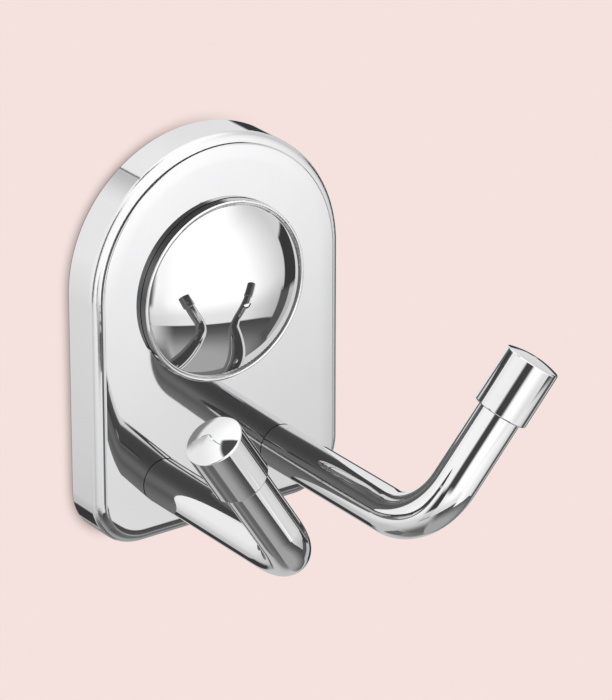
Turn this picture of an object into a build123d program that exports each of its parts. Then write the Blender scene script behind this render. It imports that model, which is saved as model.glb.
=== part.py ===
from build123d import *
import os
from math import cos, radians, sin, sqrt, tan

# Driving dimensions, in millimetres and degrees.
# Base casting: an arch-topped shell with an open back, a sloped rim and a raised front panel.
PLATE_WIDTH = 60.0
PLATE_HEIGHT = 84.2
ARCH_RISE = 2.6
CORNER_RADIUS = 11.0
BODY_DEPTH = 8.2
SHOULDER_RADIUS = 1.5
RIM_RISE = 0.4
PANEL_INSET = 2.0
PANEL_RISE = 0.9
PANEL_EDGE_RADIUS = 0.4
SIDE_WALL = 2.0
FACE_WALL = 2.0
POCKET_EDGE_RADIUS = 1.5

# Wall fixing: two holes behind the dome cover, each in a pillar that reaches the wall.
WALL_HOLE_SPACING = 20.0
WALL_HOLE_DIAMETER = 6.0
PILLAR_WALL = 2.2

# Dome cover: a shallow hollow cap inside a narrow lip, on a skirt that sits in a ring groove.
COVER_DIAMETER = 38.5
SKIRT_WALL = 1.2
SKIRT_SEAT_DEPTH = 1.0
SKIRT_CLEARANCE = 0.1
LIP_WIDTH = 0.8
LIP_HEIGHT = 2.0
LIP_STEP = 0.5
LIP_EDGE_RADIUS = 0.35
DOME_FOOT_SLOPE = 47.0
DOME_WALL = 1.2

# Hooks: round rods that come straight out of the panel, bend upwards and lean outwards.
ROD_DIAMETER = 9.5
HOOK_SPACING = 28.7
HOOK_EDGE_DISTANCE = 13.0
ROD_REACH = 49.5
BEND_RADIUS = 13.3
ARM_LENGTH = 16.7
ARM_LEAN = 33.6
LEFT_BEND = 86.7
RIGHT_BEND = 81.8
ROD_SEAT_DEPTH = 0.6
ROD_SEAT_CLEARANCE = 0.1

# Tip caps: cups pushed over the rod ends.
CAP_WALL = 1.05
CAP_LENGTH = 12.3
CAP_END_WALL = 1.6
CAP_CROWN = 0.9
CAP_EDGE_RADIUS = 0.4
CAP_CLEARANCE = 0.05

# Fixing behind each hook: a pan-head screw, a split lock washer and a flat washer on a raised pad.
SCREW_DIAMETER = 5.0
SCREW_LENGTH = 14.0
SCREW_HEAD_DIAMETER = 9.2
SCREW_HEAD_HEIGHT = 3.3
SCREW_HEAD_EDGE_RADIUS = 1.2
RECESS_WIDTH = 1.1
RECESS_SPAN = 5.0
RECESS_DEPTH = 1.8
SCREW_HOLE_CLEARANCE = 0.25
THREAD_CLEARANCE = 0.05
BORE_END_GAP = 1.5
FLAT_WASHER_DIAMETER = 10.5
FLAT_WASHER_THICKNESS = 1.0
LOCK_WASHER_DIAMETER = 9.0
LOCK_WASHER_THICKNESS = 1.2
LOCK_WASHER_GAP = 0.8
LOCK_WASHER_GAP_ANGLE = 25.0
WASHER_CLEARANCE = 0.15
PAD_MARGIN = 2.2
PAD_HEIGHT = 1.0

# Levels measured forwards from the wall.
RIM_LEVEL = BODY_DEPTH + RIM_RISE
FACE_LEVEL = RIM_LEVEL + PANEL_RISE
POCKET_LEVEL = FACE_LEVEL - FACE_WALL
PAD_LEVEL = POCKET_LEVEL - PAD_HEIGHT
ROD_SEAT_LEVEL = FACE_LEVEL - ROD_SEAT_DEPTH
SKIRT_SEAT_LEVEL = FACE_LEVEL - SKIRT_SEAT_DEPTH
FLAT_WASHER_LEVEL = PAD_LEVEL - FLAT_WASHER_THICKNESS
LOCK_WASHER_LEVEL = FLAT_WASHER_LEVEL - LOCK_WASHER_THICKNESS
HEAD_LEVEL = LOCK_WASHER_LEVEL - SCREW_HEAD_HEIGHT
SCREW_END_LEVEL = LOCK_WASHER_LEVEL + SCREW_LENGTH

# Places on the wall, with the axis of the dome cover at the middle of the two wall holes.
PLATE_BOTTOM = ARCH_RISE + PLATE_WIDTH / 2 - PLATE_HEIGHT
HOOK_HEIGHT = PLATE_BOTTOM + HOOK_EDGE_DISTANCE
CAP_BORE_DEPTH = CAP_LENGTH - CAP_END_WALL
SIDES = {"left": -1, "right": 1}
BENDS = {"left": LEFT_BEND, "right": RIGHT_BEND}

# Working frame: X to the right, Y up and Z forwards. Forwards is -Y in the part's own frame.
WALL = Plane.XZ
WALL_HOLES = GridLocations(0, WALL_HOLE_SPACING, 1, 2)
STANDING = (Align.CENTER, Align.CENTER, Align.MIN)


def cylinder_between(diameter, bottom, top):
    """Round bar along the forward axis, from one level to another."""
    return Pos(0, 0, bottom) * Cylinder(diameter / 2, top - bottom, align=STANDING)


def plate_outline(inset):
    """Arch-topped outline with rounded lower corners, drawn inwards by the inset."""
    half = PLATE_WIDTH / 2 - inset
    straight = ARCH_RISE - PLATE_BOTTOM - inset
    arch = Pos(0, ARCH_RISE) * Circle(half)
    sides = Pos(0, ARCH_RISE - straight / 2) * Rectangle(2 * half, straight)
    outline = arch + sides
    return fillet(outline.vertices().sort_by(Axis.Y)[:2], CORNER_RADIUS - inset)


def plate_block(inset, depth, edge_radius):
    """Outline pushed forwards from the wall, with its front edge rounded."""
    block = extrude(plate_outline(inset), depth)
    return fillet(block.faces().sort_by(Axis.Z)[-1].edges(), edge_radius)


def plate_body():
    """Side wall, its rounded shoulder and the rim that climbs from it to the foot of the panel."""
    body = extrude(plate_outline(0), RIM_LEVEL)
    front = body.faces().sort_by(Axis.Z)[-1]
    body = chamfer(front.edges(), PANEL_INSET, RIM_RISE, reference=front)
    # Edge groups from the wall forwards: the back, the seams of the side wall, the shoulder, then the rim.
    shoulder = body.edges().group_by(Axis.Z)[2]
    return fillet(shoulder, SHOULDER_RADIUS)


def turned(section):
    """Solid of revolution about the forward axis, from a section drawn as radius and level."""
    return revolve(Plane.XZ * section, Axis.Z)


def corners_at(section, points):
    """Corners of a section that lie at the given points."""
    return [section.vertices().sort_by_distance(point)[0] for point in points]


def hook_place(side):
    """Place on the wall straight behind one hook."""
    return Pos(SIDES[side] * HOOK_SPACING / 2, HOOK_HEIGHT, 0)


def base_plate():
    """Shell with its stepped front, inner pads and pillars, and every seat and hole cut in it."""
    panel = plate_block(PANEL_INSET, FACE_LEVEL, PANEL_EDGE_RADIUS)
    shell = plate_body() + panel - plate_block(SIDE_WALL, POCKET_LEVEL, POCKET_EDGE_RADIUS)

    shell += WALL_HOLES * cylinder_between(WALL_HOLE_DIAMETER + 2 * PILLAR_WALL, 0, POCKET_LEVEL)
    shell -= WALL_HOLES * cylinder_between(WALL_HOLE_DIAMETER, 0, FACE_LEVEL)

    groove_outer = COVER_DIAMETER + 2 * SKIRT_CLEARANCE
    groove_inner = COVER_DIAMETER - 2 * SKIRT_WALL - 2 * SKIRT_CLEARANCE
    groove = cylinder_between(groove_outer, SKIRT_SEAT_LEVEL, FACE_LEVEL)
    shell -= groove - cylinder_between(groove_inner, SKIRT_SEAT_LEVEL, FACE_LEVEL)

    for side in SIDES:
        place = hook_place(side)
        pad_diameter = FLAT_WASHER_DIAMETER + 2 * PAD_MARGIN
        shell += place * cylinder_between(pad_diameter, PAD_LEVEL, POCKET_LEVEL)
        shell -= place * cylinder_between(ROD_DIAMETER + 2 * ROD_SEAT_CLEARANCE, ROD_SEAT_LEVEL, FACE_LEVEL)
        shell -= place * cylinder_between(SCREW_DIAMETER + 2 * SCREW_HOLE_CLEARANCE, PAD_LEVEL, FACE_LEVEL)
    return WALL * shell


def dome_cover():
    """Skirt, rounded lip, a step down inside the lip, and the hollow spherical cap."""
    outer = COVER_DIAMETER / 2
    inner = outer - SKIRT_WALL
    foot = outer - LIP_WIDTH
    foot_level = LIP_HEIGHT - LIP_STEP
    slope = radians(DOME_FOOT_SLOPE)
    sphere = foot / sin(slope)
    apex = foot_level + sphere * (1 - cos(slope))
    hollow = sphere - DOME_WALL
    hollow_level = apex - sphere + sqrt(hollow**2 - inner**2)

    lip_corners = [(outer, LIP_HEIGHT), (foot, LIP_HEIGHT)]
    section = make_face([
        Polyline(
            (inner, hollow_level),
            (inner, -SKIRT_SEAT_DEPTH),
            (outer, -SKIRT_SEAT_DEPTH),
            *lip_corners,
            (foot, foot_level),
        ),
        RadiusArc((foot, foot_level), (0, apex), -sphere),
        Line((0, apex), (0, apex - DOME_WALL)),
        RadiusArc((0, apex - DOME_WALL), (inner, hollow_level), hollow),
    ])
    section = fillet(corners_at(section, lip_corners), LIP_EDGE_RADIUS)
    return WALL * Pos(0, 0, FACE_LEVEL) * turned(section)


def arm_direction(side):
    """Direction in which the bent arm points."""
    bend = radians(BENDS[side])
    lean = radians(ARM_LEAN)
    return Vector(SIDES[side] * sin(lean) * sin(bend), cos(lean) * sin(bend), cos(bend))


def bend_corner(side):
    """Point where the rod's straight axis and the arm's axis would meet."""
    return Vector(SIDES[side] * HOOK_SPACING / 2, HOOK_HEIGHT, FACE_LEVEL + ROD_REACH)


def arm_point(side, past_bend):
    """Point on the arm's axis, measured from the end of the bend."""
    tangent = BEND_RADIUS * tan(radians(BENDS[side]) / 2)
    return bend_corner(side) + arm_direction(side) * (tangent + past_bend)


def hook(side):
    """Bent rod from its seat in the panel to the floor of its tip cap, with a tapped bore in its foot."""
    corner = bend_corner(side)
    foot = Vector(corner.X, corner.Y, ROD_SEAT_LEVEL)
    axis = FilletPolyline(foot, corner, arm_point(side, ARM_LENGTH + CAP_BORE_DEPTH), radius=BEND_RADIUS)
    rod = sweep(Plane(foot, z_dir=(0, 0, 1)) * Circle(ROD_DIAMETER / 2), path=axis)
    bore_diameter = SCREW_DIAMETER + 2 * THREAD_CLEARANCE
    rod -= hook_place(side) * cylinder_between(bore_diameter, ROD_SEAT_LEVEL, SCREW_END_LEVEL + BORE_END_GAP)
    return WALL * rod


def tip_cap(side):
    """Cup with a blind bore and a slightly crowned end, seated on the end of the rod."""
    bore = ROD_DIAMETER / 2 + CAP_CLEARANCE
    outer = bore + CAP_WALL
    crown = CAP_LENGTH + CAP_CROWN
    sphere = (outer**2 + CAP_CROWN**2) / (2 * CAP_CROWN)
    rim_corners = [(outer, 0), (outer, CAP_LENGTH)]
    section = make_face([
        Polyline((0, CAP_BORE_DEPTH), (bore, CAP_BORE_DEPTH), (bore, 0), *rim_corners),
        RadiusArc((outer, CAP_LENGTH), (0, crown), -sphere),
        Line((0, crown), (0, CAP_BORE_DEPTH)),
    ])
    section = fillet(corners_at(section, rim_corners), CAP_EDGE_RADIUS)
    return WALL * Plane(arm_point(side, ARM_LENGTH), z_dir=arm_direction(side)) * turned(section)


def hook_screw(side):
    """Pan-head screw with a cross recess, its shank running forwards into the rod."""
    head = cylinder_between(SCREW_HEAD_DIAMETER, HEAD_LEVEL, LOCK_WASHER_LEVEL)
    head = fillet(head.edges().sort_by(Axis.Z)[0], SCREW_HEAD_EDGE_RADIUS)
    slot = Pos(0, 0, HEAD_LEVEL) * Box(RECESS_SPAN, RECESS_WIDTH, RECESS_DEPTH, align=STANDING)
    head -= slot + Rot(0, 0, 90) * slot
    shank = cylinder_between(SCREW_DIAMETER, LOCK_WASHER_LEVEL, SCREW_END_LEVEL)
    return WALL * hook_place(side) * (head + shank)


def washer_ring(diameter, bottom, thickness):
    """Flat ring around the screw."""
    ring = cylinder_between(diameter, bottom, bottom + thickness)
    return ring - cylinder_between(SCREW_DIAMETER + 2 * WASHER_CLEARANCE, bottom, bottom + thickness)


def flat_washer(side):
    """Plain washer on the pad."""
    ring = washer_ring(FLAT_WASHER_DIAMETER, FLAT_WASHER_LEVEL, FLAT_WASHER_THICKNESS)
    return WALL * hook_place(side) * ring


def lock_washer(side):
    """Spring washer cut through by a slanted gap, pressed flat under the screw head."""
    ring = washer_ring(LOCK_WASHER_DIAMETER, LOCK_WASHER_LEVEL, LOCK_WASHER_THICKNESS)
    gap = Box(LOCK_WASHER_DIAMETER, LOCK_WASHER_GAP, 3 * LOCK_WASHER_THICKNESS)
    middle = LOCK_WASHER_LEVEL + LOCK_WASHER_THICKNESS / 2
    ring -= Pos(LOCK_WASHER_DIAMETER / 2, 0, middle) * Rot(LOCK_WASHER_GAP_ANGLE, 0, 0) * gap
    return WALL * hook_place(side) * ring


nodes = {"base_plate": base_plate(), "dome_cover": dome_cover()}
for side in SIDES:
    nodes[side + "_hook"] = hook(side)
    nodes[side + "_tip_cap"] = tip_cap(side)
    nodes[side + "_hook_screw"] = hook_screw(side)
    nodes[side + "_flat_washer"] = flat_washer(side)
    nodes[side + "_lock_washer"] = lock_washer(side)

os.makedirs("parts", exist_ok=True)
for name, solid in nodes.items():
    export_step(solid, "parts/" + name + ".step")
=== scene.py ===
import math

import bpy
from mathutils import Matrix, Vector


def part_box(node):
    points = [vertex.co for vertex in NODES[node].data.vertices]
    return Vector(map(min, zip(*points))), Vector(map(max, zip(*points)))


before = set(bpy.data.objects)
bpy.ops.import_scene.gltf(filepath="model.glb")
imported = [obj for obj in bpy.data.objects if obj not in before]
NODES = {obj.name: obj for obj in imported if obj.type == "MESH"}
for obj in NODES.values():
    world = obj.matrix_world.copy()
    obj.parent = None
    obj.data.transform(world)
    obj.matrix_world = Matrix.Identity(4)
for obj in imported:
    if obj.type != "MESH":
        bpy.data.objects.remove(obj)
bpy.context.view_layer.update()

# Camera: where the photograph was taken from, in degrees, metres and pixels.
AZIMUTH = -35.371
ELEVATION = 23.781
TARGET = Vector((0.013583, -0.020, -0.013145))
DISTANCE = 1.0209
FOCAL_PIXELS = 5065.8
IMAGE_HEIGHT = 700
SENSOR = 36.0
CLIP_START = 0.01

# Base plate, in metres: its outline and the raised panel on its front.
BASE_LOW, BASE_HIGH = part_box("base_plate")
HALF_WIDTH = (BASE_HIGH.x - BASE_LOW.x) / 2
ARCH_CENTRE = BASE_HIGH.z - HALF_WIDTH
PANEL_INSET = 0.002
PANEL_HALF = HALF_WIDTH - PANEL_INSET
PANEL_BOTTOM = BASE_LOW.z + PANEL_INSET
PANEL_CORNER = 0.009

# How the polished panel departs from a true flat, in metres: a slight crown, a soft roll towards the
# sides and the arch, and a quicker one along the foot.
CROWN_RADIUS = 0.7
CROWN_HEIGHT = -0.0094
ROLL_WIDTH = 0.0035
ROLL_SLOPE = 0.105
FOOT_WIDTH = 0.0021
FOOT_SLOPE = 0.17
FOOT_FADE = PANEL_CORNER * 0.7

# Softer finish of the rim round the panel: how deep it goes, how it sets in, and how much rougher it is.
RIM_DEPTH = 0.002
RIM_START = 0.0002
RIM_FADE = 0.0005
RIM_ROUGHNESS = 0.14

# Inside of the base, open to the wall: its depth from the front and the wall round it.
POCKET_WALL = 0.0018
POCKET_FRONT = 0.0017

# Fine detail: the range that most noise values lie in, noise scales, and relief in metres.
NOISE_LOW = 0.3
NOISE_HIGH = 0.7
HAZE_SCALE = 55.0
WAVE_SCALE = 30.0
WAVE_HEIGHT = 0.000012
CAST_SCALE = 1400.0
CAST_HEIGHT = 0.00012
STEEL_SCALE = 900.0
STEEL_HEIGHT = 0.00002

# Backdrop: its colour in linear light, its extent and the contact shadow's reach and fade, in metres.
BLUSH = (0.913, 0.759, 0.730)
WALL_SIZE = 3.0
WALL_BACK = 0.0002
FLOOR_LEVEL = -1.5
SHADOW_REACH = 0.0032
SHADOW_FADE = 0.020

# The set's light by direction. Places are in degrees, around from the front with right as positive, or
# in height above the level. Shades are 8-bit display levels.
SET_STRENGTH = 1.15
CLOTH_AROUND = [
    (-180, 232), (-130, 240), (-70, 236), (-45, 242), (-25, 255), (30, 255), (40, 245), (52, 230),
    (67, 212), (80, 198), (110, 205), (140, 222), (180, 232),
]
CLOTH_LEFT = [
    (-90, 95), (-71, 97), (-64, 110), (-56, 152), (-49, 182), (-41, 197), (-34, 206), (-26, 214),
    (-11, 232), (0, 240),
]
CLOTH_BEHIND = [
    (-90, 95), (-71, 120), (-64, 165), (-56, 183), (-34, 187), (-28, 202), (-24, 213), (-19, 218),
    (0, 230),
]
TABLE = [
    (-90, 158), (-66, 156), (-60, 145), (-55, 128), (-50, 110), (-45, 88), (-38, 70), (-30, 66),
]
ROOM = [
    (-90, 120), (-42, 120), (-25, 108), (-12, 96), (4, 112), (14, 110), (24, 90), (34, 76), (44, 68),
    (90, 66),
]

# Areas of the set: from, to and softness around, then the same in height.
PATCH = (79, 97, 1.5), (-46, -22, 2.0)
SIDE_GAP = (83, 112, 1.0), (-24, 3, 1.5)
UPPER_SLOT = (134, 147, 1.5), (-15, 1, 2.0)
LOWER_SLOT = (116, 139, 1.5), (-36, -7, 2.5)
UNDER = (-168, -118, 3.0), (-69, -54, 2.0)
WEDGE = (-152, -105, 3.0), (57, 80, 2.0)
JOINT = (-167.9, -166.9, 0.4), (32, 39, 2.0)
OPEN_SIDE = (27, 118, 5.0), (-56, 24, 5.0)

# Shades of those areas and of the other shapes in the set.
PATCH_SHADE = 80
GAP_SHADE = 54
UNDER_SHADE = 98
WEDGE_SHADE = 70
BAND_SHADE = 130
FOLD_SHADE = 186
JOINT_SHADE = 50
CREASE_SHADE = 110
OPEN_SHADE = 226

# Ray depths that tell a ray mirrored once, below, from one mirrored twice, above. The background counts
# one more than a sheet does.
TENT_DEPTH = 2.5
SHEET_DEPTH = 1.5

# Reflector: a curved upright sheet round the right hook's bend, in metres and degrees.
CARD_CENTRE = (0.025, -0.062)
CARD_RADIUS = 0.058
CARD_FROM = -10
CARD_TO = 72
CARD_LOW = -0.0875
CARD_HIGH = -0.042
CARD_REACH = 0.085
CARD_STEPS = 25
CARD_TOP_FADE = 0.008
CARD_LEFT_FADE = 10
CARD_RIGHT_FADE = 6
CARD_LIGHT = [(CARD_FROM, 250), (12, 245), (25, 233), (40, 227), (55, 212), (CARD_TO, 175)]

# Flag: a narrow sheet along the right arm with a dark band on it, in metres from the middle of the tip
# cap. The two directions are the way that the arm points and the way from the arm to the sheet.
ARM_AXIS = (0.548, -0.143, 0.825)
FLAG_WAY = (-0.706, -0.682, 0.191)
FLAG_DISTANCE = 0.031
FLAG_LEFT = -0.0156
FLAG_RIGHT = 0.0115
FLAG_LOW = -0.036
FLAG_HIGH = 0.024
FLAG_BAND = 0.0078
FLAG_SOFT = 0.0028
FLAG_FADE = 0.008
FLAG_REACH = 0.036
FLAG_SHADE = 236
FLAG_BAND_SHADE = 62


def level(value):
    """Linear light for an 8-bit display level."""
    v = value / 255
    return v / 12.92 if v <= 0.04045 else ((v + 0.055) / 1.055) ** 2.4


class Graph:
    """Short helpers for building a node tree."""

    def __init__(self, tree):
        self.tree = tree
        tree.nodes.clear()

    def node(self, kind, inputs=None, **settings):
        made = self.tree.nodes.new(kind)
        for name, value in settings.items():
            setattr(made, name, value)
        for name, value in (inputs or {}).items():
            self.feed(made.inputs[name], value)
        return made

    def feed(self, socket, value):
        """Link another node's output to the socket, or set a plain value on it."""
        if isinstance(value, bpy.types.NodeSocket):
            self.tree.links.new(value, socket)
        else:
            socket.default_value = value

    def math(self, operation, *values):
        made = self.node("ShaderNodeMath", operation=operation)
        for socket, value in zip(made.inputs, values):
            self.feed(socket, value)
        return made.outputs[0]

    def product(self, *values):
        result = values[0]
        for value in values[1:]:
            result = self.math("MULTIPLY", result, value)
        return result

    def largest(self, *values):
        result = values[0]
        for value in values[1:]:
            result = self.math("MAXIMUM", result, value)
        return result

    def square(self, value):
        return self.math("POWER", value, 2.0)

    def length(self, first, second):
        """Length of the hypotenuse over two sides."""
        return self.math("SQRT", self.math("ADD", self.square(first), self.square(second)))

    def inverse(self, value):
        """1 where the value is 0, and 0 where it is 1."""
        return self.math("SUBTRACT", 1.0, value)

    def smooth(self, value, low, high, start=0.0, end=1.0):
        """Eased step from start to end as the value goes from low to high."""
        inputs = {"Value": value, "From Min": low, "From Max": high, "To Min": start, "To Max": end}
        made = self.node("ShaderNodeMapRange", inputs, interpolation_type="SMOOTHSTEP")
        return made.outputs["Result"]

    def linear(self, value, low, high, start=0.0, end=1.0):
        """Straight step from start to end as the value goes from low to high."""
        inputs = {"Value": value, "From Min": low, "From Max": high, "To Min": start, "To Max": end}
        return self.node("ShaderNodeMapRange", inputs).outputs["Result"]

    def blend(self, factor, first, second):
        """First value where the factor is 0, second where it is 1."""
        inputs = {"Factor": factor, "A": first, "B": second}
        return self.node("ShaderNodeMix", inputs, data_type="FLOAT").outputs["Result"]

    def window(self, value, low, high, soft):
        """1 between low and high, with eased sides."""
        rise = self.smooth(value, low - soft, low + soft)
        fall = self.smooth(value, high - soft, high + soft, 1.0, 0.0)
        return self.math("MULTIPLY", rise, fall)

    def area(self, around, height, sides, heights):
        """1 within an area of directions, with eased sides."""
        return self.math("MULTIPLY", self.window(around, *sides), self.window(height, *heights))

    def ramp(self, value, stops):
        """Grey curve through (value, display level) stops, from the first to the last."""
        low, high = stops[0][0], stops[-1][0]
        made = self.node("ShaderNodeValToRGB", {"Fac": self.linear(value, low, high)})
        elements = made.color_ramp.elements
        while len(elements) < len(stops):
            elements.new(0.5)
        for element, (place, shade) in zip(elements, stops):
            element.position = (place - low) / (high - low)
            element.color = (level(shade),) * 3 + (1.0,)
        return made.outputs["Color"]

    def noise(self, vector, scale, detail):
        inputs = {"Vector": vector, "Scale": scale, "Detail": detail}
        return self.node("ShaderNodeTexNoise", inputs).outputs["Fac"]

    def spread(self, noise, start, end):
        """Noise stretched to run from start to end."""
        return self.linear(noise, NOISE_LOW, NOISE_HIGH, start, end)

    def scaled(self, colour, factor):
        inputs = {0: colour, "Scale": factor}
        return self.node("ShaderNodeVectorMath", inputs, operation="SCALE").outputs["Vector"]

    def part_along(self, vector, way):
        """How far a vector goes along a direction."""
        inputs = {0: vector, 1: way}
        return self.node("ShaderNodeVectorMath", inputs, operation="DOT_PRODUCT").outputs["Value"]

    def position(self):
        return self.node("ShaderNodeNewGeometry").outputs["Position"]

    def split(self, vector):
        return self.node("ShaderNodeSeparateXYZ", {"Vector": vector}).outputs


def mesh_object(name, points, faces):
    mesh = bpy.data.meshes.new(name)
    mesh.from_pydata(points, [], faces)
    made = bpy.data.objects.new(name, mesh)
    bpy.context.scene.collection.objects.link(made)
    return made


def material(name):
    made = bpy.data.materials.new(name)
    made.use_nodes = True
    return made, Graph(made.node_tree)


def metal(g, colour, rough, height):
    """Metal surface with its colour, roughness and relief in metres."""
    bump = g.node("ShaderNodeBump", {"Strength": 1.0, "Distance": 1.0, "Height": height})
    shader = g.node("ShaderNodeBsdfPrincipled", {
        "Base Color": colour, "Metallic": 1.0, "Roughness": rough, "Normal": bump.outputs["Normal"],
    })
    g.node("ShaderNodeOutputMaterial", {"Surface": shader.outputs["BSDF"]})


def polish(g, place, tint, roughness):
    """Colour, roughness and relief of polished plating with a faint haze and slight waves."""
    haze = g.noise(place, HAZE_SCALE, 3.0)
    rough = g.spread(haze, roughness * 0.6, roughness * 1.4)
    colour = g.scaled(tint, g.spread(haze, 0.985, 1.015))
    height = g.math("MULTIPLY", g.noise(place, WAVE_SCALE, 1.0), WAVE_HEIGHT)
    return colour, rough, height


def chrome(name, tint, roughness):
    """Polished plating on a turned or bent piece."""
    made, g = material(name)
    metal(g, *polish(g, g.position(), tint, roughness))
    return made


def casting(name, tint, roughness):
    """Polished plating on the base, with a hand-polished panel's soft edges and a dull, grainy inside."""
    made, g = material(name)
    place = g.position()
    x, y, z = g.split(place)
    colour, rough, height = polish(g, place, tint, roughness)

    # Distance from the middle line, which turns into distance from the arch's centre near the top.
    above = g.math("MAXIMUM", g.math("SUBTRACT", z, ARCH_CENTRE), 0.0)
    reach = g.length(x, above)

    # Drops from a true flat: the crown, the roll towards the sides and the arch, and the roll of the foot.
    swell = g.math("ADD", g.square(x), g.square(g.math("SUBTRACT", z, CROWN_HEIGHT)))
    roll = g.linear(reach, PANEL_HALF - ROLL_WIDTH, PANEL_HALF, 0.0, ROLL_WIDTH)
    out = g.math("SUBTRACT", g.math("ABSOLUTE", x), PANEL_HALF - PANEL_CORNER)
    out = g.math("MAXIMUM", out, 0.0)
    down = g.math("MAXIMUM", g.math("SUBTRACT", PANEL_BOTTOM + PANEL_CORNER, z), 0.0)
    edge = g.length(out, down)
    foot = g.linear(edge, PANEL_CORNER - FOOT_WIDTH, PANEL_CORNER, 0.0, FOOT_WIDTH)
    foot = g.math("MULTIPLY", foot, g.smooth(down, 0.0, FOOT_FADE))
    for drop, factor in (
        (swell, 0.5 / CROWN_RADIUS),
        (g.square(roll), 0.5 * ROLL_SLOPE / ROLL_WIDTH),
        (g.square(foot), 0.5 * FOOT_SLOPE / FOOT_WIDTH),
    ):
        height = g.math("SUBTRACT", height, g.math("MULTIPLY", drop, factor))

    # The rim round the panel is out of reach of the polishing wheel's face, so it is a little softer.
    rim_back = BASE_LOW.y + RIM_DEPTH
    rim = g.product(
        g.smooth(reach, PANEL_HALF + RIM_START, PANEL_HALF + RIM_FADE),
        g.smooth(y, rim_back, rim_back + RIM_FADE, 1.0, 0.0),
    )
    rough = g.math("ADD", rough, g.math("MULTIPLY", rim, RIM_ROUGHNESS))

    within = g.math("LESS_THAN", reach, HALF_WIDTH - POCKET_WALL)
    over = g.math("GREATER_THAN", z, BASE_LOW.z + POCKET_WALL)
    back = g.math("GREATER_THAN", y, BASE_LOW.y + POCKET_FRONT)
    inside = g.product(within, over, back)
    grain = g.noise(place, CAST_SCALE, 4.0)
    rough = g.blend(inside, rough, g.spread(grain, 0.32, 0.5))
    colour = g.scaled(colour, g.blend(inside, 1.0, g.spread(grain, 0.62, 0.78)))
    height = g.math("ADD", height, g.product(grain, inside, CAST_HEIGHT))
    metal(g, colour, rough, height)
    return made


def steel(name, tint):
    """Plain plated steel of a small fastener."""
    made, g = material(name)
    grain = g.noise(g.position(), STEEL_SCALE, 4.0)
    rough = g.spread(grain, 0.22, 0.4)
    colour = g.scaled(tint, g.spread(grain, 0.9, 1.1))
    metal(g, colour, rough, g.math("MULTIPLY", grain, STEEL_HEIGHT))
    return made


def dress():
    """Finishes on the CAD nodes."""
    rod = chrome("plated_rod", tint=(0.91, 0.91, 0.915), roughness=0.03)
    cap = chrome("plated_cap", tint=(0.88, 0.88, 0.885), roughness=0.05)
    fastener = steel("plated_steel", tint=(0.56, 0.55, 0.53))
    finishes = {
        "base_plate": casting("plated_casting", tint=(0.86, 0.86, 0.87), roughness=0.04),
        "dome_cover": chrome("plated_cover", tint=(0.93, 0.93, 0.935), roughness=0.02),
    }
    for side in ("left", "right"):
        finishes[side + "_hook"] = rod
        finishes[side + "_tip_cap"] = cap
        for piece in ("_hook_screw", "_flat_washer", "_lock_washer"):
            finishes[side + piece] = fastener
    for name, finish in finishes.items():
        NODES[name].data.materials.clear()
        NODES[name].data.materials.append(finish)


def cloth(g, around, turn, height):
    """Lit cloth of the tent, dimmer low down, on the left and behind."""
    front = g.ramp(around, CLOTH_AROUND)
    front = g.math("MULTIPLY", front, g.smooth(height, -30, -12, 0.72, 1.0))
    left = g.math("MINIMUM", front, g.ramp(height, CLOTH_LEFT))
    behind = g.math("MINIMUM", front, g.ramp(height, CLOTH_BEHIND))
    light = g.blend(g.smooth(around, -50, -40, 1.0, 0.0), front, left)
    return g.blend(g.smooth(turn, 105, 130), light, behind)


def on_table(g, around, height):
    """1 on the table top below the hook, which ends lower down on the far right."""
    edge = g.smooth(around, 94, 100, -36.3, -43)
    below = g.smooth(g.math("SUBTRACT", height, edge), -0.7, 0.7, 1.0, 0.0)
    return g.product(below, g.smooth(around, -62, -36), g.smooth(around, 125, 135, 1.0, 0.0))


def gaps(g, around, turn, height):
    """1 in the tent's dark gaps: a leaning strip on the left, openings on the right, a notch behind."""
    lean = g.math("SUBTRACT", around, g.math("MULTIPLY", height, 0.14))
    faint = g.window(height, -34, -18, 3.0)
    strip = g.product(
        g.smooth(lean, -78, -68),
        g.smooth(lean, -55, -52, 1.0, 0.0),
        g.window(height, -36, 40, 3.0),
        g.linear(faint, 0.0, 1.0, 1.0, 0.12),
    )
    openings = [g.area(around, height, *place) for place in (SIDE_GAP, UPPER_SLOT, LOWER_SLOT)]
    notch = g.product(g.smooth(turn, 162, 167), g.window(height, -46, -36, 2.0))
    return g.largest(strip, *openings, notch)


def seam(g, around, height, light):
    """The light with a joint in the tent's cloth, a soft fold beside it and a crease climbing from it."""
    fold = g.product(
        g.window(around, -166.6, -150, 0.4),
        g.smooth(around, -166, -150, 1.0, 0.0),
        g.window(height, 24, 39, 2.0),
    )
    light = g.blend(fold, light, level(FOLD_SHADE))
    light = g.blend(g.area(around, height, *JOINT), light, level(JOINT_SHADE))
    climb = g.math("SUBTRACT", height, g.linear(around, -167, -139, 40.5, 59))
    crease = g.product(g.window(climb, -0.5, 0.5, 0.5), g.window(around, -167, -139, 1.5))
    return g.blend(crease, light, level(CREASE_SHADE))


def bright_set(g, around, height):
    """The light tent by direction: what a surface mirrors directly."""
    turn = g.math("ABSOLUTE", around)
    light = cloth(g, around, turn, height)
    light = g.blend(on_table(g, around, height), light, g.ramp(height, TABLE))
    light = g.blend(g.area(around, height, *PATCH), light, level(PATCH_SHADE))
    light = g.blend(gaps(g, around, turn, height), light, level(GAP_SHADE))
    light = g.blend(g.area(around, height, *UNDER), light, level(UNDER_SHADE))

    # The roof is full white, apart from a wedge, and a dim band crosses the back below it.
    light = g.blend(g.smooth(height, 35, 60), light, 1.0)
    light = g.blend(g.area(around, height, *WEDGE), light, level(WEDGE_SHADE))
    band = g.product(g.smooth(turn, 156, 168), g.window(height, 12, 28, 3.0))
    light = g.blend(band, light, level(BAND_SHADE))
    light = seam(g, around, height, light)
    return g.math("MULTIPLY", light, SET_STRENGTH)


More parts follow.
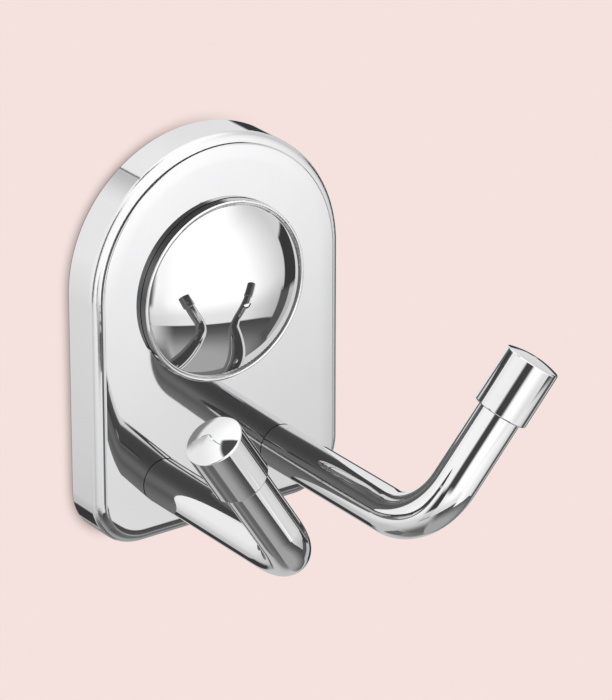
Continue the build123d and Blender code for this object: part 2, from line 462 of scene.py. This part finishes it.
def dark_room(g, around, height):
    """What a surface mirrors by way of a second surface: a room's dark side and one open side."""
    open_side = g.area(around, height, *OPEN_SIDE)
    return g.blend(open_side, g.ramp(height, ROOM), level(OPEN_SHADE))


def studio():
    """Light tent round the object, seen only by reflection. What a surface mirrors directly is the
    bright set. What reaches it by way of a second surface is the dark side of the room."""
    world = bpy.data.worlds.new("studio")
    bpy.context.scene.world = world
    world.use_nodes = True
    g = Graph(world.node_tree)
    x, y, z = g.split(g.node("ShaderNodeTexCoord").outputs["Generated"])
    around = g.math("DEGREES", g.math("ARCTAN2", x, g.math("MULTIPLY", y, -1.0)))
    height = g.math("DEGREES", g.math("ARCSINE", z))
    path = g.node("ShaderNodeLightPath").outputs
    deep = g.math("GREATER_THAN", path["Ray Depth"], TENT_DEPTH)
    light = g.blend(deep, bright_set(g, around, height), dark_room(g, around, height))
    tent = g.node("ShaderNodeBackground", {"Color": light}).outputs[0]
    plain = g.node("ShaderNodeBackground", {"Color": BLUSH + (1.0,)}).outputs[0]
    mix = g.node("ShaderNodeMixShader", {0: path["Is Camera Ray"], 1: tent, 2: plain})
    g.node("ShaderNodeOutputWorld", {"Surface": mix.outputs[0]})


def glow(g, light, strength, solid):
    """Surface that gives light where it is solid, and is clear elsewhere."""
    lit = g.node("ShaderNodeEmission", {"Color": light, "Strength": strength}).outputs[0]
    clear = g.node("ShaderNodeBsdfTransparent").outputs[0]
    mix = g.node("ShaderNodeMixShader", {0: solid, 1: clear, 2: lit})
    g.node("ShaderNodeOutputMaterial", {"Surface": mix.outputs[0]})


def backdrop():
    """Wall that the hook hangs on, with a close contact shadow, open from behind, and a pale floor."""
    wall = mesh_object("wall", [
        (-WALL_SIZE, WALL_BACK, FLOOR_LEVEL),
        (WALL_SIZE, WALL_BACK, FLOOR_LEVEL),
        (WALL_SIZE, WALL_BACK, WALL_SIZE),
        (-WALL_SIZE, WALL_BACK, WALL_SIZE),
    ], [(0, 1, 2, 3)])
    finish, g = material("wall_paint")
    surface = g.node("ShaderNodeNewGeometry").outputs
    x = g.split(surface["Position"])[0]
    close = g.node("ShaderNodeAmbientOcclusion", {"Distance": SHADOW_REACH}, samples=32)
    shadow = g.product(
        g.smooth(close.outputs["AO"], 0.0, 1.0, 1.0, 0.0),
        g.smooth(x, -SHADOW_FADE, SHADOW_FADE, 1.0, 0.0),
    )
    colour = g.scaled(BLUSH, g.inverse(shadow))
    glow(g, colour, 1.0, g.inverse(surface["Backfacing"]))
    wall.data.materials.append(finish)
    wall.visible_glossy = False
    wall.visible_diffuse = False
    wall.visible_shadow = False

    floor = mesh_object("floor", [
        (-WALL_SIZE, -WALL_SIZE, FLOOR_LEVEL),
        (WALL_SIZE, -WALL_SIZE, FLOOR_LEVEL),
        (WALL_SIZE, 0, FLOOR_LEVEL),
        (-WALL_SIZE, 0, FLOOR_LEVEL),
    ], [(0, 1, 2, 3)])
    finish, g = material("floor_paint")
    mottle = g.linear(g.noise(g.position(), 40.0, 2.0), 0.0, 1.0, 0.97, 1.03)
    colour = g.scaled(BLUSH, mottle)
    shader = g.node("ShaderNodeBsdfPrincipled", {"Base Color": colour, "Roughness": 0.8})
    g.node("ShaderNodeOutputMaterial", {"Surface": shader.outputs["BSDF"]})
    floor.data.materials.append(finish)
    floor.visible_glossy = False


def mirrored_near(g, reach):
    """1 for a ray that was mirrored once, from within reach."""
    path = g.node("ShaderNodeLightPath").outputs
    once = g.math("LESS_THAN", path["Ray Depth"], SHEET_DEPTH)
    return g.math("MULTIPLY", once, g.math("LESS_THAN", path["Ray Length"], reach))


def only_reflected(sheet):
    sheet.visible_camera = False
    sheet.visible_diffuse = False
    sheet.visible_shadow = False


def card():
    """White reflector below and in front of the right hook, seen only by direct reflection close to it."""
    points, faces = [], []
    for i in range(CARD_STEPS + 1):
        turn = math.radians(CARD_FROM + (CARD_TO - CARD_FROM) * i / CARD_STEPS)
        x = CARD_CENTRE[0] + CARD_RADIUS * math.sin(turn)
        y = CARD_CENTRE[1] - CARD_RADIUS * math.cos(turn)
        points += [(x, y, CARD_LOW), (x, y, CARD_HIGH)]
    for i in range(0, 2 * CARD_STEPS, 2):
        faces.append((i, i + 2, i + 3, i + 1))
    sheet = mesh_object("reflector", points, faces)
    finish, g = material("reflector_white")
    x, y, z = g.split(g.position())
    forward = g.math("SUBTRACT", CARD_CENTRE[1], y)
    sideways = g.math("SUBTRACT", x, CARD_CENTRE[0])
    around = g.math("DEGREES", g.math("ARCTAN2", sideways, forward))
    solid = g.product(
        mirrored_near(g, CARD_REACH),
        g.smooth(z, CARD_HIGH - CARD_TOP_FADE, CARD_HIGH, 1.0, 0.0),
        g.smooth(around, CARD_FROM, CARD_FROM + CARD_LEFT_FADE),
        g.smooth(around, CARD_TO - CARD_RIGHT_FADE, CARD_TO, 1.0, 0.0),
    )
    glow(g, g.ramp(around, CARD_LIGHT), SET_STRENGTH, solid)
    sheet.data.materials.append(finish)
    only_reflected(sheet)


def flag():
    """White sheet with a dark band along the right arm, seen only by direct reflection close to it."""
    low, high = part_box("right_tip_cap")
    along = Vector(ARM_AXIS).normalized()
    out = Vector(FLAG_WAY)
    out = (out - along * out.dot(along)).normalized()
    across = along.cross(out)
    centre = (low + high) / 2 + out * FLAG_DISTANCE

    # The corners go round so that the sheet faces the arm.
    points = []
    for side, end in (
        (FLAG_LEFT, FLAG_HIGH), (FLAG_RIGHT, FLAG_HIGH), (FLAG_RIGHT, FLAG_LOW), (FLAG_LEFT, FLAG_LOW),
    ):
        points.append(centre + across * side + along * end)
    sheet = mesh_object("flag", points, [(0, 1, 2, 3)])
    finish, g = material("flag_cloth")
    surface = g.node("ShaderNodeNewGeometry").outputs
    inputs = {0: surface["Position"], 1: centre}
    offset = g.node("ShaderNodeVectorMath", inputs, operation="SUBTRACT").outputs[0]
    band = g.window(g.part_along(offset, across), -FLAG_BAND, FLAG_BAND, FLAG_SOFT)
    light = g.blend(band, level(FLAG_SHADE), level(FLAG_BAND_SHADE))
    solid = g.product(
        mirrored_near(g, FLAG_REACH),
        g.inverse(surface["Backfacing"]),
        g.smooth(g.part_along(offset, along), FLAG_LOW, FLAG_LOW + FLAG_FADE),
    )
    glow(g, light, SET_STRENGTH, solid)
    sheet.data.materials.append(finish)
    only_reflected(sheet)


def camera():
    """Camera with the photograph's view."""
    turn, climb = math.radians(AZIMUTH), math.radians(ELEVATION)
    across = math.cos(climb)
    back = Vector((math.sin(turn) * across, -math.cos(turn) * across, math.sin(climb)))
    lens = bpy.data.cameras.new("camera")
    lens.sensor_width = SENSOR
    lens.sensor_fit = "AUTO"
    lens.lens = FOCAL_PIXELS / IMAGE_HEIGHT * SENSOR
    lens.clip_start = CLIP_START
    made = bpy.data.objects.new("camera", lens)
    made.location = TARGET + back * DISTANCE
    made.rotation_euler = back.to_track_quat("Z", "Y").to_euler()
    bpy.context.scene.collection.objects.link(made)
    bpy.context.scene.camera = made


dress()
studio()
backdrop()
card()
flag()
camera()
bpy.context.scene.view_settings.view_transform = "Standard"
